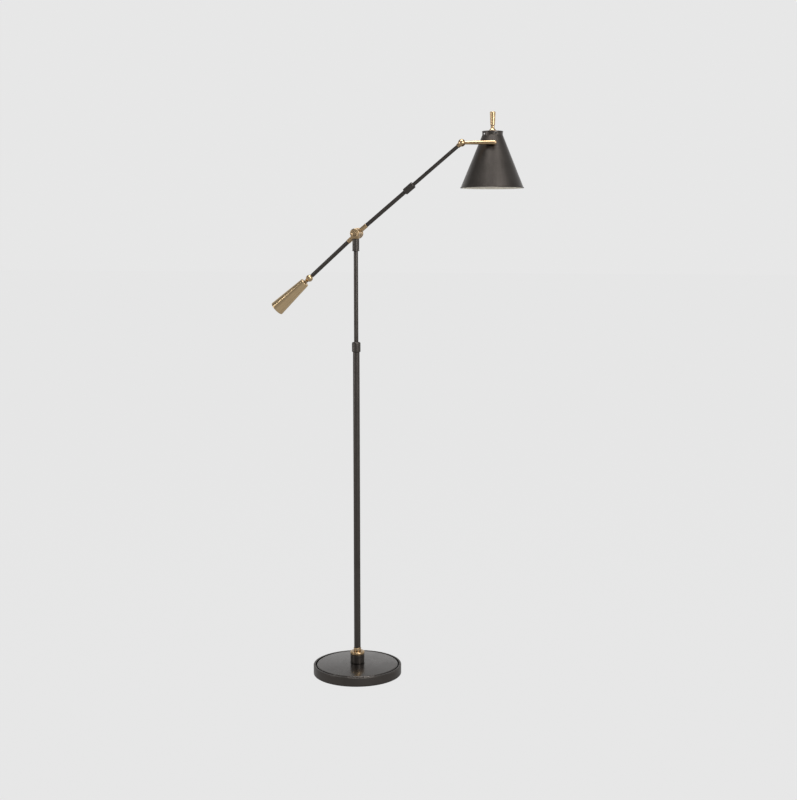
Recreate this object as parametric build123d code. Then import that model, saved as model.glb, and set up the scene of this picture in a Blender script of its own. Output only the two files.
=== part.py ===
from build123d import *

import math
import os

# Pharmacy floor lamp: weighted round base, telescoping mast, counterweighted telescoping arm,
# tapered side rod and conical shade. Millimetres, +Z up, origin under the centre of the base,
# +X towards the shade, the arm's plane parallel to XZ.

# ---------------------------------------------------------------- driving dimensions
# base
BASE_RADIUS = 125.0
BASE_HEIGHT = 27.5
RIM_WIDTH = 6.0
FOOT_GAP = 1.5
LEDGE_LOW, LEDGE_TOP = 17.5, 20.5
LEDGE_INNER = 101.0
DISH_RADIUS = 115.4
DISH_SPHERE = 2000.0
DISH_TOP = 31.2
DISH_SHEET = 2.0
DISH_EDGE_ROUNDING = 3.0
PAD_RADIUS, PAD_TOP = 115.0, 2.0
COVER_RADIUS, COVER_TOP = 118.6, 3.5
WEIGHT_RADIUS, WEIGHT_TOP = 99.5, 24.0
NIPPLE_RADIUS, NIPPLE_BORE = 6.5, 4.5
GROMMET_RADIUS, GROMMET_BORE, GROMMET_Z = 5.0, 3.2, 10.0

# hub and mast
HUB_RADIUS, HUB_TOP = 19.8, 56.5
HUB_GROOVE_LOW, HUB_GROOVE_TOP, HUB_GROOVE_DEPTH = 48.6, 49.8, 0.8
HUB_RING_RADIUS, HUB_RING_TOP = 20.2, 65.2
FERRULE_RADIUS, FERRULE_TOP = 10.5, 75.5
LOWER_TUBE_RADIUS, LOWER_TUBE_BORE = 9.25, 8.0
LOWER_TUBE_FOOT, LOWER_TUBE_TOP = 51.5, 929.0
UPPER_TUBE_RADIUS, UPPER_TUBE_BORE = 6.1, 5.0
UPPER_TUBE_FOOT, UPPER_TUBE_TOP = 680.0, 1228.0
COLLAR_RADIUS, COLLAR_LOW, COLLAR_TOP = 11.9, 920.0, 948.0
RUNNING = 0.05
SLACK = 0.3

# head of the mast and the arm's pivot
STOP_RING_LOW, STOP_RING_TOP, STOP_RING_RADIUS = 1198.4, 1201.2, 9.9
SLEEVE_RADIUS, SLEEVE_LOW, SLEEVE_TOP = 9.4, 1201.5, 1231.5
PIVOT_Z = 1247.0
BLOCK_RADIUS, BLOCK_FRONT, BLOCK_BACK = 13.0, -9.0, 7.3
WASHER_BACK = 8.0
KNOB_RADIUS, KNOB_FRONT, KNOB_BACK = 13.4, -15.5, -9.3
ARM_HUB_RADIUS, ARM_HUB_FRONT, ARM_HUB_BACK = 14.0, 8.3, 23.4
PIVOT_CAP_RADIUS, PIVOT_CAP_BACK = 15.0, 28.0
BOLT_RADIUS = 4.0

# arm, measured along its own axis from the pivot
ARM_Y = 16.5
FRONT_ELEVATION, REAR_ELEVATION = 39.75, 42.0
STUB_RADIUS, REAR_STUB, FRONT_STUB, STUB_SOCKET = 6.3, 35.0, 34.5, 12.0
ARM_TUBE_RADIUS, ARM_TUBE_BORE = 5.6, 5.1
FRONT_TUBE_END = 191.0
ARM_COLLAR_RADIUS, ARM_COLLAR_START, ARM_COLLAR_END = 9.3, 174.0, 206.0
EXTENSION_RADIUS, EXTENSION_BORE = 5.05, 4.5
EXTENSION_START = 156.0
FRONT_BALL, FRONT_BALL_RADIUS = 377.3, 10.2
FRONT_BAND_START, FRONT_BAND_RADIUS = FRONT_BALL - 14.0, 6.2
REAR_BALL, REAR_BALL_RADIUS = 185.8, 9.8
REAR_TUBE_END = REAR_BALL - 10.5
SPIGOT_DEPTH = 14.0
SPLIT = 0.15

# counterweight, measured from the rear ball
NECK_RADIUS, NECK_END = 5.0, 40.0
WEIGHT_START, WEIGHT_END = 16.5, 129.4
WEIGHT_THIN, WEIGHT_THICK = 12.8, 21.0

# side rod and shade
ROD_THIN, ROD_THICK = 4.6, 6.1
ROD_TO_SHADE = 46.0
SHADE_X, SHADE_Y = 366.9, ARM_Y + ROD_TO_SHADE
TILT_OFFSET = 8.0
ROD_OVERHANG = 4.0
RIM_Z, RIM_RADIUS = 1368.8, 85.6
NECK_Z, SHADE_NECK_RADIUS = 1510.7, 28.0
SHEET = 0.9
BEAD_RADIUS = 1.1
LINER_GAP, LINER_SHEET = 0.2, 0.5
VENT_COLLAR_TOP = 1518.5
VENT_COUNT, VENT_RADIUS, VENT_Z, VENT_START = 5, 3.4, 1514.7, 152.0
CAP_RADIUS, CAP_EDGE_TOP, CAP_TOP = 28.7, 1521.2, 1522.8
POST_RADIUS, BUSH_RADIUS = 4.5, 6.5
BUSH_FRONT, BUSH_BACK = -39.5, -27.0

# lampholder, bulb and rotary switch
HOLDER_LOW, HOLDER_TOP, HOLDER_RADIUS, HOLDER_BORE = 1457.0, 1493.0, 17.2, 13.4
SWITCH_TOP, SWITCH_RADIUS = 1515.0, 15.5
SEAT_TOP = 1536.2
SHAFT_RADIUS, HOLDER_NIPPLE_RADIUS = 2.5, 3.9
BULB_RADIUS, BULB_CENTRE_Z, BULB_NECK_RADIUS, BULB_NECK_Z = 24.0, 1408.0, 12.2, 1461.0
BULB_CAP_RADIUS = 12.9
FINIAL_LOW, FINIAL_TOP, FINIAL_THIN, FINIAL_THICK = 1536.6, 1573.1, 6.3, 7.9

# ---------------------------------------------------------------- frames
FRONT_RISE, REAR_RISE = math.radians(FRONT_ELEVATION), math.radians(REAR_ELEVATION)
ALONG = (math.cos(FRONT_RISE), 0, math.sin(FRONT_RISE))
AGAINST = (-math.cos(REAR_RISE), 0, -math.sin(REAR_RISE))
PIVOT = (0, ARM_Y, PIVOT_Z)
KNUCKLE_X = FRONT_BALL * ALONG[0]
KNUCKLE_Z = PIVOT_Z + FRONT_BALL * ALONG[2]
TILT_X = SHADE_X + TILT_OFFSET
CROSSWISE = (0, 1, 0)

arm_frame = Plane(origin=PIVOT, x_dir=CROSSWISE, z_dir=ALONG)
rear_frame = Plane(origin=PIVOT, x_dir=CROSSWISE, z_dir=AGAINST)
pivot_frame = Plane(origin=(0, 0, PIVOT_Z), x_dir=(1, 0, 0), z_dir=CROSSWISE)
rod_frame = Plane(origin=(KNUCKLE_X, ARM_Y, KNUCKLE_Z), x_dir=CROSSWISE, z_dir=(1, 0, 0))
tilt_frame = Plane(origin=(TILT_X, SHADE_Y, KNUCKLE_Z), x_dir=(1, 0, 0), z_dir=CROSSWISE)
weight_frame = rear_frame.offset(REAR_BALL)
shade_place = Pos(SHADE_X, SHADE_Y, 0)

parts = {}


# ---------------------------------------------------------------- helpers
def turned(*corners):
    """Solid of revolution about Z from corners (radius, height) or (radius, height, rounding)."""
    outline = make_face(Polyline(*[corner[:2] for corner in corners], close=True))
    for corner in corners:
        if len(corner) == 3:
            spot = Vector(corner[0], corner[1])
            nearest = min(outline.vertices(), key=lambda vertex: (vertex.center() - spot).length)
            outline = fillet(nearest, corner[2])
    return revolve(Plane.XZ * outline, Axis.Z)


def ring(outer, low, high, bore=0.0, round_low=0.0, round_high=0.0):
    """Upright cylinder, with an optional bore and rounded outer edges."""
    low_corner = (outer, low, round_low) if round_low else (outer, low)
    high_corner = (outer, high, round_high) if round_high else (outer, high)
    return turned((bore, low), low_corner, high_corner, (bore, high))


def half_space(frame, side):
    """Big block on one side of a frame's XY plane, leaving half of the split gap."""
    size = 120.0
    return frame * Pos(0, 0, side * (size / 2 + SPLIT)) * Box(size, size, size)


def keep(name, shape):
    """Names a finished piece."""
    parts[name] = shape


def dome_height(radius, sphere):
    """Height of the dish's spherical sheet at a radius."""
    centre = DISH_TOP - DISH_SPHERE
    return centre + math.sqrt(sphere * sphere - radius * radius)


# ---------------------------------------------------------------- base
def base_shell():
    """Turned rim with a ledge, and the domed dish that lies on it."""
    inner = BASE_RADIUS - RIM_WIDTH
    rim = turned(
        (inner, FOOT_GAP),
        (BASE_RADIUS, FOOT_GAP, 1.0),
        (BASE_RADIUS, BASE_HEIGHT, 2.0),
        (inner, BASE_HEIGHT, 1.2),
        (inner, LEDGE_TOP),
        (LEDGE_INNER, LEDGE_TOP),
        (LEDGE_INNER, LEDGE_LOW),
        (inner, LEDGE_LOW),
    )
    entry = Plane(origin=(0, BASE_RADIUS, GROMMET_Z), x_dir=(1, 0, 0), z_dir=CROSSWISE)
    keep("base_ring", rim - entry * Cylinder(GROMMET_RADIUS, 40))

    hole = NIPPLE_RADIUS + 0.1
    inner_sphere = DISH_SPHERE - DISH_SHEET
    skirt = DISH_RADIUS - DISH_SHEET
    middle = DISH_RADIUS / 2
    edge = Vector(DISH_RADIUS, dome_height(DISH_RADIUS, DISH_SPHERE))
    outline = make_face(Wire([
        Edge.make_three_point_arc(
            (hole, dome_height(hole, DISH_SPHERE)),
            (middle, dome_height(middle, DISH_SPHERE)),
            edge,
        ),
        Edge.make_line(edge, (DISH_RADIUS, LEDGE_TOP)),
        Edge.make_line((DISH_RADIUS, LEDGE_TOP), (skirt, LEDGE_TOP)),
        Edge.make_line((skirt, LEDGE_TOP), (skirt, dome_height(skirt, inner_sphere))),
        Edge.make_three_point_arc(
            (skirt, dome_height(skirt, inner_sphere)),
            (middle, dome_height(middle, inner_sphere)),
            (hole, dome_height(hole, inner_sphere)),
        ),
        Edge.make_line((hole, dome_height(hole, inner_sphere)), (hole, dome_height(hole, DISH_SPHERE))),
    ]))
    corner = min(outline.vertices(), key=lambda vertex: (vertex.center() - edge).length)
    keep("base_dish", revolve(Plane.XZ * fillet(corner, DISH_EDGE_ROUNDING), Axis.Z))


def base_inside():
    """Cast weight, steel cover with its screws, felt pad, and the nipple that ties it all together."""
    bore = NIPPLE_RADIUS + 0.5
    recess, recess_top = 18.0, 14.0
    shoulder, shoulder_top = 62.0, 27.0
    boss, boss_top = 22.0, 28.8
    screw_circle, screw_shank, screw_head = 80.0, 2.0, 3.6
    screw_top = 12.0
    screw_angles = (45, 135, 225, 315)

    weight = turned(
        (bore, recess_top),
        (recess, recess_top),
        (recess, COVER_TOP),
        (WEIGHT_RADIUS, COVER_TOP),
        (WEIGHT_RADIUS, WEIGHT_TOP, 2.0),
        (shoulder, WEIGHT_TOP),
        (shoulder, shoulder_top),
        (boss, shoulder_top),
        (boss, boss_top),
        (bore, boss_top),
    )
    cover = ring(COVER_RADIUS, PAD_TOP, COVER_TOP, bore=recess)
    screws = []
    for angle in screw_angles:
        place = Rot(0, 0, angle) * Pos(screw_circle, 0, 0)
        shank = ring(screw_shank, PAD_TOP, screw_top)
        head = ring(screw_head, PAD_TOP, COVER_TOP)
        screws.append(place * (shank + head))
        weight -= place * shank
        cover -= place * ring(screw_head + 0.05, PAD_TOP - 1, COVER_TOP + 1)
    keep("base_weight", weight)
    keep("base_cover", cover)
    keep("base_screws", Compound(children=screws))
    keep("felt_pad", ring(PAD_RADIUS, 0, PAD_TOP))

    nipple_low, nipple_top = 4.0, 95.0
    nut_low, nut_top, washer_top = 4.5, 12.0, recess_top
    across_flats = 19.0
    keep("base_nipple", ring(NIPPLE_RADIUS, nipple_low, nipple_top, bore=NIPPLE_BORE))
    hexagon = RegularPolygon(across_flats / 2, 6, major_radius=False)
    nut = Pos(0, 0, nut_low) * extrude(hexagon, nut_top - nut_low)
    keep("base_nut", nut - Cylinder(NIPPLE_RADIUS, 60))
    keep("base_washer", ring(16.0, nut_top, washer_top, bore=NIPPLE_RADIUS + 0.1))
    keep("mast_plug", ring(LOWER_TUBE_BORE - RUNNING, LOWER_TUBE_FOOT + 3, nipple_top + 4, bore=NIPPLE_RADIUS))


def cord_grommet():
    """Rubber grommet of the cord inlet in the back of the rim."""
    wall_inside = -RIM_WIDTH
    flange, flange_thickness = 6.4, 1.2
    grommet = turned(
        (GROMMET_BORE, wall_inside - flange_thickness),
        (flange, wall_inside - flange_thickness),
        (flange, wall_inside - 0.2),
        (GROMMET_RADIUS - 0.1, wall_inside - 0.2),
        (GROMMET_RADIUS - 0.1, 0.3),
        (flange, 0.3),
        (flange, flange_thickness, 0.5),
        (GROMMET_BORE, flange_thickness, 0.5),
    )
    keep("cord_grommet", Plane(origin=(0, BASE_RADIUS, GROMMET_Z), x_dir=(1, 0, 0), z_dir=CROSSWISE) * grommet)


def hub():
    """Bronze hub on the dish, its brass ring and the brass ferrule round the mast."""
    socket = LOWER_TUBE_RADIUS + RUNNING
    foot = DISH_TOP
    keep("base_hub", turned(
        (NIPPLE_RADIUS + 0.1, foot),
        (HUB_RADIUS, foot, 0.6),
        (HUB_RADIUS, HUB_GROOVE_LOW),
        (HUB_RADIUS - HUB_GROOVE_DEPTH, HUB_GROOVE_LOW),
        (HUB_RADIUS - HUB_GROOVE_DEPTH, HUB_GROOVE_TOP),
        (HUB_RADIUS, HUB_GROOVE_TOP),
        (HUB_RADIUS, HUB_TOP, 1.0),
        (socket, HUB_TOP),
        (socket, LOWER_TUBE_FOOT),
        (NIPPLE_RADIUS + 0.1, LOWER_TUBE_FOOT),
    ))
    keep("hub_ring", turned(
        (socket, HUB_TOP),
        (HUB_RING_RADIUS, HUB_TOP, 2.2),
        (HUB_RING_RADIUS, HUB_RING_TOP, 3.2),
        (socket, HUB_RING_TOP),
    ))
    keep("hub_ferrule", ring(FERRULE_RADIUS, HUB_RING_TOP, FERRULE_TOP, bore=socket, round_high=0.9))


# ---------------------------------------------------------------- mast
def mast():
    """Fixed lower tube with the split collet, and the upper tube that slides in it."""
    keep("lower_tube", ring(LOWER_TUBE_RADIUS, LOWER_TUBE_FOOT, LOWER_TUBE_TOP, bore=LOWER_TUBE_BORE))

    collet_low, collet_top, flange_radius = 900.0, 934.0, 9.0
    slit_width = 1.2
    collet = turned(
        (UPPER_TUBE_RADIUS + RUNNING, collet_low),
        (LOWER_TUBE_BORE - RUNNING, collet_low),
        (LOWER_TUBE_BORE - RUNNING, LOWER_TUBE_TOP),
        (flange_radius, LOWER_TUBE_TOP),
        (flange_radius, collet_top, 1.0),
        (UPPER_TUBE_RADIUS + RUNNING, collet_top),
    )
    slit = Pos(10, 0, collet_top) * Box(20, slit_width, 50)
    keep("mast_collet", collet - slit)

    keep("upper_tube", ring(UPPER_TUBE_RADIUS, UPPER_TUBE_FOOT, UPPER_TUBE_TOP, bore=UPPER_TUBE_BORE))
    guide_length = 30.0
    guide_radius = LOWER_TUBE_BORE - RUNNING
    guide_top = UPPER_TUBE_FOOT + guide_length
    keep("riser_guide", ring(guide_radius, UPPER_TUBE_FOOT, guide_top, bore=UPPER_TUBE_RADIUS))
    keep("swivel_stop_ring", ring(
        STOP_RING_RADIUS, STOP_RING_LOW, STOP_RING_TOP, bore=UPPER_TUBE_RADIUS, round_low=0.8, round_high=0.5))


def mast_collar():
    """Twist collar that tightens the collet on the upper tube."""
    shoulder = 936.0
    keep("mast_collar", turned(
        (LOWER_TUBE_RADIUS + RUNNING, COLLAR_LOW),
        (COLLAR_RADIUS, COLLAR_LOW, 2.4),
        (COLLAR_RADIUS, COLLAR_TOP, 3.2),
        (UPPER_TUBE_RADIUS + SLACK, COLLAR_TOP),
        (UPPER_TUBE_RADIUS + SLACK, shoulder),
        (LOWER_TUBE_RADIUS + RUNNING, shoulder),
    ))


# ---------------------------------------------------------------- head of the mast
def mast_head():
    """Sleeve that turns on the upper tube, and the brass block that carries the arm's pivot."""
    keep("pivot_sleeve", turned(
        (0, UPPER_TUBE_TOP + SLACK),
        (UPPER_TUBE_RADIUS + RUNNING, UPPER_TUBE_TOP + SLACK),
        (UPPER_TUBE_RADIUS + RUNNING, SLEEVE_LOW),
        (SLEEVE_RADIUS, SLEEVE_LOW, 0.8),
        (SLEEVE_RADIUS, SLEEVE_TOP, 1.0),
        (0, SLEEVE_TOP),
    ))
    disc = ring(BLOCK_RADIUS, BLOCK_FRONT, BLOCK_BACK, round_low=1.5, round_high=0.8)
    foot_radius, belly_radius = 8.4, 10.4
    stem = turned(
        (0, SLEEVE_TOP),
        (foot_radius, SLEEVE_TOP),
        (belly_radius, SLEEVE_TOP + 4, 2.5),
        (belly_radius, PIVOT_Z),
        (0, PIVOT_Z),
    )
    stem &= Pos(0, (BLOCK_FRONT + BLOCK_BACK) / 2, PIVOT_Z) * Box(40, BLOCK_BACK - BLOCK_FRONT, 60)
    bolt_hole = pivot_frame * Cylinder(BOLT_RADIUS + RUNNING, 60)
    keep("pivot_block", pivot_frame * disc + stem - bolt_hole)
    keep("friction_washer", pivot_frame * ring(
        BLOCK_RADIUS - 1.5, BLOCK_BACK, WASHER_BACK, bore=BOLT_RADIUS + RUNNING))


def tension_knob():
    """Brass disc knob on the front of the pivot, with a raised boss in a turned groove."""
    boss, groove, groove_floor = 4.8, 6.4, KNOB_FRONT + 1.4
    crown, crown_front = 8.6, KNOB_FRONT + 0.3
    bore_end = KNOB_FRONT + 2.2
    keep("tension_knob", pivot_frame * turned(
        (0, KNOB_FRONT),
        (boss, KNOB_FRONT, 1.0),
        (boss, groove_floor),
        (groove, groove_floor),
        (crown, crown_front, 1.4),
        (KNOB_RADIUS, KNOB_FRONT + 1.2, 2.2),
        (KNOB_RADIUS, KNOB_BACK, 0.8),
        (BOLT_RADIUS + RUNNING, KNOB_BACK),
        (BOLT_RADIUS + RUNNING, bore_end),
        (0, bore_end),
    ))


# ---------------------------------------------------------------- arm
def arm_hub():
    """Hub with two stubs that hold the arm's tubes, its bolt and the cap behind it."""
    bolt_front, bolt_back = KNOB_FRONT + 2.5, ARM_HUB_BACK + 3.0
    disc = pivot_frame * ring(ARM_HUB_RADIUS, ARM_HUB_FRONT, ARM_HUB_BACK, round_low=0.8)
    front = arm_frame * ring(STUB_RADIUS, 0, FRONT_STUB, round_high=0.6)
    rear = rear_frame * ring(STUB_RADIUS, 0, REAR_STUB, round_high=0.6)
    front_socket = arm_frame * ring(ARM_TUBE_RADIUS, FRONT_STUB - STUB_SOCKET, FRONT_STUB + 1)
    rear_socket = rear_frame * ring(ARM_TUBE_RADIUS, REAR_STUB - STUB_SOCKET, REAR_STUB + 1)
    bolt = pivot_frame * ring(BOLT_RADIUS, bolt_front, bolt_back)
    keep("arm_hub", disc + front + rear - front_socket - rear_socket - bolt)
    keep("pivot_bolt", bolt)
    keep("pivot_cap", pivot_frame * turned(
        (BOLT_RADIUS, ARM_HUB_BACK),
        (PIVOT_CAP_RADIUS, ARM_HUB_BACK, 0.8),
        (PIVOT_CAP_RADIUS, PIVOT_CAP_BACK, 1.8),
        (0, PIVOT_CAP_BACK),
        (0, bolt_back),
        (BOLT_RADIUS, bolt_back),
    ))


def arm_tubes():
    """Rear tube, front tube with its split ring, and the inner tube that slides out of it."""
    rear_start = REAR_STUB - STUB_SOCKET
    keep("rear_tube", rear_frame * ring(ARM_TUBE_RADIUS, rear_start, REAR_TUBE_END, bore=ARM_TUBE_BORE))
    front_start = FRONT_STUB - STUB_SOCKET
    keep("front_tube", arm_frame * ring(ARM_TUBE_RADIUS, front_start, FRONT_TUBE_END, bore=ARM_TUBE_BORE))

    collet_radius, collet_end, slit_width = 7.0, FRONT_TUBE_END + 7.0, 1.0
    collet = ring(collet_radius, FRONT_TUBE_END, collet_end, bore=EXTENSION_RADIUS + RUNNING)
    slit = Pos(collet_radius, 0, FRONT_TUBE_END) * Box(2 * collet_radius, slit_width, 40)
    keep("arm_collet", arm_frame * (collet - slit))
    keep("extension_tube", arm_frame * ring(
        EXTENSION_RADIUS, EXTENSION_START, FRONT_BAND_START, bore=EXTENSION_BORE))


def arm_collar():
    """Twist collar that tightens the split ring on the inner tube."""
    cavity_end = FRONT_TUBE_END + 7.3
    cavity_radius = 7.3
    keep("arm_collar", arm_frame * turned(
        (ARM_TUBE_RADIUS + RUNNING, ARM_COLLAR_START),
        (ARM_COLLAR_RADIUS, ARM_COLLAR_START, 2.6),
        (ARM_COLLAR_RADIUS, ARM_COLLAR_END, 2.6),
        (EXTENSION_RADIUS + SLACK, ARM_COLLAR_END),
        (EXTENSION_RADIUS + SLACK, cavity_end),
        (cavity_radius, cavity_end),
        (cavity_radius, FRONT_TUBE_END - SLACK),
        (ARM_TUBE_RADIUS + RUNNING, FRONT_TUBE_END - SLACK),
    ))


def front_knuckle():
    """Ball split upright across the rod: the left half holds the arm, the right half the rod."""
    band_end, pin_radius, pin_reach = FRONT_BALL - 7, 3.0, 6.0
    spigot_start = FRONT_BAND_START - SPIGOT_DEPTH
    ball = rod_frame * Sphere(FRONT_BALL_RADIUS)
    pin = rod_frame * ring(pin_radius, -pin_reach, pin_reach)
    pin_bore = rod_frame * ring(pin_radius + RUNNING, -pin_reach - SLACK, pin_reach)
    band = arm_frame * ring(FRONT_BAND_RADIUS, FRONT_BAND_START, band_end, round_low=0.6)
    spigot = arm_frame * ring(EXTENSION_BORE - RUNNING, spigot_start, band_end)
    keep("front_knuckle", (ball & half_space(rod_frame, -1)) + band + spigot - pin_bore)
    keep("rod_pin", pin)
    keep("rod_knuckle", (ball & half_space(rod_frame, 1)) - pin - rod_frame * rod_bar(pin_reach))


def rear_knuckle():
    """Ball split along the arm: the front half holds the rear tube, the back half the counterweight."""
    side_frame = Plane(origin=weight_frame.origin, x_dir=(1, 0, 0), z_dir=CROSSWISE)
    clear = REAR_BALL_RADIUS + SLACK
    screw_radius, head_radius = 2.5, 4.4
    head_front, head_back, screw_back = -9.2, -5.6, 7.0
    ball = weight_frame * Sphere(REAR_BALL_RADIUS)
    spigot_radius = ARM_TUBE_BORE - RUNNING
    tongue = rear_frame * ring(spigot_radius, REAR_BALL - clear, REAR_BALL - 4)
    spigot = rear_frame * ring(spigot_radius, REAR_TUBE_END - SPIGOT_DEPTH, REAR_BALL - clear)
    screw = side_frame * (ring(head_radius, head_front, head_back) + ring(screw_radius, head_back, screw_back))
    front_half = (ball + tongue) & half_space(side_frame, -1)
    head_recess = side_frame * ring(head_radius, head_front - 5, head_back)
    keep("rear_knuckle", front_half + spigot - screw - head_recess)
    keep("rear_knuckle_screw", screw)

    neck_tongue = weight_frame * ring(NECK_RADIUS, 4, clear)
    neck = weight_frame * ring(NECK_RADIUS, clear, NECK_END)
    back_half = (ball + neck_tongue) & half_space(side_frame, 1)
    screw_bore = side_frame * ring(screw_radius + RUNNING, -1, screw_back + SLACK)
    keep("weight_knuckle", back_half + neck - screw_bore)
    keep("counterweight", weight_frame * turned(
        (NECK_RADIUS, WEIGHT_START),
        (WEIGHT_THIN, WEIGHT_START, 1.8),
        (WEIGHT_THICK, WEIGHT_END, 2.0),
        (0, WEIGHT_END),
        (0, NECK_END),
        (NECK_RADIUS, NECK_END),
    ))


# ---------------------------------------------------------------- side rod
def rod_bar(start):
    """Bar that thickens evenly to a rounded end, from a distance beyond the front ball's centre."""
    length = TILT_X + ROD_OVERHANG - KNUCKLE_X
    bar = turned((0, start), (ROD_THIN, start), (ROD_THICK, length), (0, length))
    return bar + Pos(0, 0, length) * Sphere(ROD_THICK)


def side_rod():
    """Tapered brass rod with a rounded end, and the post it turns into the shade on."""
    start = 6.0
    post_back = SHADE_Y - 22.4
    nut_front, nut_back, nut_radius = -26.6, -23.0, 7.0
    post_frame = Plane(origin=(TILT_X, 0, KNUCKLE_Z), x_dir=(1, 0, 0), z_dir=CROSSWISE)
    post = post_frame * ring(POST_RADIUS, ARM_Y, post_back)
    keep("side_rod", rod_frame * rod_bar(start) - post)
    keep("pivot_post", post)
    keep("pivot_nut", tilt_frame * ring(nut_radius, nut_front, nut_back, bore=POST_RADIUS, round_high=0.8))


# ---------------------------------------------------------------- shade
def shade_sheet(offset, thickness, top, bottom):
    """Conical sheet at an inward offset from the shade's outer surface."""
    slope = (RIM_RADIUS - SHADE_NECK_RADIUS) / (NECK_Z - RIM_Z - BEAD_RADIUS)

    def radius(height):
        return SHADE_NECK_RADIUS + slope * (NECK_Z - height) - offset

    return turned(
        (radius(top) - thickness, top),
        (radius(top), top),
        (radius(bottom), bottom),
        (radius(bottom) - thickness, bottom),
    )


def shade():
    """Spun cone with a rolled bead, white liner, vented collar, cap and pivot bush."""
    bead_z = RIM_Z + BEAD_RADIUS
    bush_hole = tilt_frame * ring(BUSH_RADIUS, BUSH_FRONT - 10, BUSH_BACK + 10)
    shell = shade_sheet(0, SHEET, NECK_Z, bead_z)
    shell += Pos(0, 0, bead_z) * Torus(RIM_RADIUS - SHEET + BEAD_RADIUS, BEAD_RADIUS)
    keep("shade_shell", shade_place * shell - bush_hole)
    liner = shade_sheet(SHEET + LINER_GAP, LINER_SHEET, NECK_Z - 2, RIM_Z + 0.2)
    keep("shade_liner", shade_place * liner - bush_hole)

    collar = ring(SHADE_NECK_RADIUS, NECK_Z, VENT_COLLAR_TOP, bore=SHADE_NECK_RADIUS - SHEET)
    for index in range(VENT_COUNT):
        angle = VENT_START + index * 360 / VENT_COUNT
        vent = Pos(0, 0, VENT_Z) * Rot(0, 0, angle) * Pos(SHADE_NECK_RADIUS, 0, 0) * Rot(0, 90, 0)
        collar -= vent * Cylinder(VENT_RADIUS, 12)
    keep("vent_collar", shade_place * collar)
    keep("shade_cap", shade_place * turned(
        (HOLDER_NIPPLE_RADIUS, VENT_COLLAR_TOP),
        (CAP_RADIUS, VENT_COLLAR_TOP, 0.5),
        (CAP_RADIUS, CAP_EDGE_TOP, 1.2),
        (10, CAP_TOP),
        (HOLDER_NIPPLE_RADIUS, CAP_TOP),
    ))
    keep("pivot_bush", tilt_frame * ring(BUSH_RADIUS, BUSH_FRONT, BUSH_BACK, bore=POST_RADIUS + RUNNING))


def lampholder():
    """Lampholder, rotary switch, the nipple that hangs them from the cap, and the knob's seat."""
    nipple_top = 1528.0
    socket_floor = HOLDER_TOP - 4
    shaft_bore = SHAFT_RADIUS + RUNNING
    keep("lampholder", shade_place * turned(
        (0, socket_floor),
        (HOLDER_BORE, socket_floor),
        (HOLDER_BORE, HOLDER_LOW),
        (HOLDER_RADIUS, HOLDER_LOW, 0.8),
        (HOLDER_RADIUS, HOLDER_TOP, 1.2),
        (0, HOLDER_TOP),
    ))
    keep("switch_housing", shade_place * turned(
        (0, HOLDER_TOP),
        (SWITCH_RADIUS, HOLDER_TOP),
        (SWITCH_RADIUS, SWITCH_TOP, 1.5),
        (shaft_bore, SWITCH_TOP),
        (shaft_bore, HOLDER_TOP + 8),
        (0, HOLDER_TOP + 8),
    ))
    keep("holder_nipple", shade_place * ring(HOLDER_NIPPLE_RADIUS, SWITCH_TOP, nipple_top, bore=shaft_bore))
    keep("knob_seat", shade_place * turned(
        (HOLDER_NIPPLE_RADIUS, CAP_TOP),
        (9.5, CAP_TOP),
        (9.5, CAP_TOP + 1.4, 0.6),
        (5.2, CAP_TOP + 6.0, 2.5),
        (4.6, SEAT_TOP - 5.0),
        (5.6, SEAT_TOP - 4.6, 0.3),
        (5.6, SEAT_TOP - 1.6, 0.6),
        (4.4, SEAT_TOP),
        (shaft_bore, SEAT_TOP),
        (shaft_bore, nipple_top),
        (HOLDER_NIPPLE_RADIUS, nipple_top),
    ))


def bulb_body(shrink):
    """Solid pear shape of the bulb, smaller by a wall thickness."""
    lift = math.radians(48)
    radius = BULB_RADIUS - shrink
    neck = BULB_NECK_RADIUS - shrink
    shoulder = (radius * math.cos(lift), BULB_CENTRE_Z + radius * math.sin(lift))
    outline = make_face(Wire([
        Edge.make_line((0, BULB_NECK_Z), (neck, BULB_NECK_Z)),
        Edge.make_line((neck, BULB_NECK_Z), (neck, BULB_NECK_Z - 8)),
        Edge.make_spline(
            [(neck, BULB_NECK_Z - 8), shoulder],
            tangents=[(0, -1), (math.sin(lift), -math.cos(lift))],
        ),
        Edge.make_three_point_arc(
            shoulder,
            (radius * math.cos(math.radians(-20)), BULB_CENTRE_Z + radius * math.sin(math.radians(-20))),
            (0, BULB_CENTRE_Z - radius),
        ),
        Edge.make_line((0, BULB_CENTRE_Z - radius), (0, BULB_NECK_Z)),
    ]))
    return revolve(Plane.XZ * outline, Axis.Z)


def bulb():
    """Pear-shaped bulb of thin glass and its screw cap."""
    glass_wall = 1.0
    cap_top, contact_top = 1486.0, 1488.0
    keep("bulb_glass", shade_place * (bulb_body(0) - bulb_body(glass_wall)))
    keep("bulb_cap", shade_place * turned(
        (0, BULB_NECK_Z),
        (BULB_CAP_RADIUS, BULB_NECK_Z),
        (BULB_CAP_RADIUS, cap_top - 2),
        (5.0, cap_top),
        (5.0, contact_top),
        (0, contact_top),
    ))


def switch_knob():
    """Tapered knob on top of the shade, fixed to the switch's shaft."""
    shaft_low, shaft_top = 1502.0, 1559.0
    keep("switch_shaft", shade_place * ring(SHAFT_RADIUS, shaft_low, shaft_top))
    keep("switch_knob", shade_place * turned(
        (SHAFT_RADIUS, FINIAL_LOW),
        (FINIAL_THIN, FINIAL_LOW, 0.8),
        (FINIAL_THICK, FINIAL_TOP, 1.8),
        (0, FINIAL_TOP),
        (0, shaft_top),
        (SHAFT_RADIUS, shaft_top),
    ))


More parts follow.
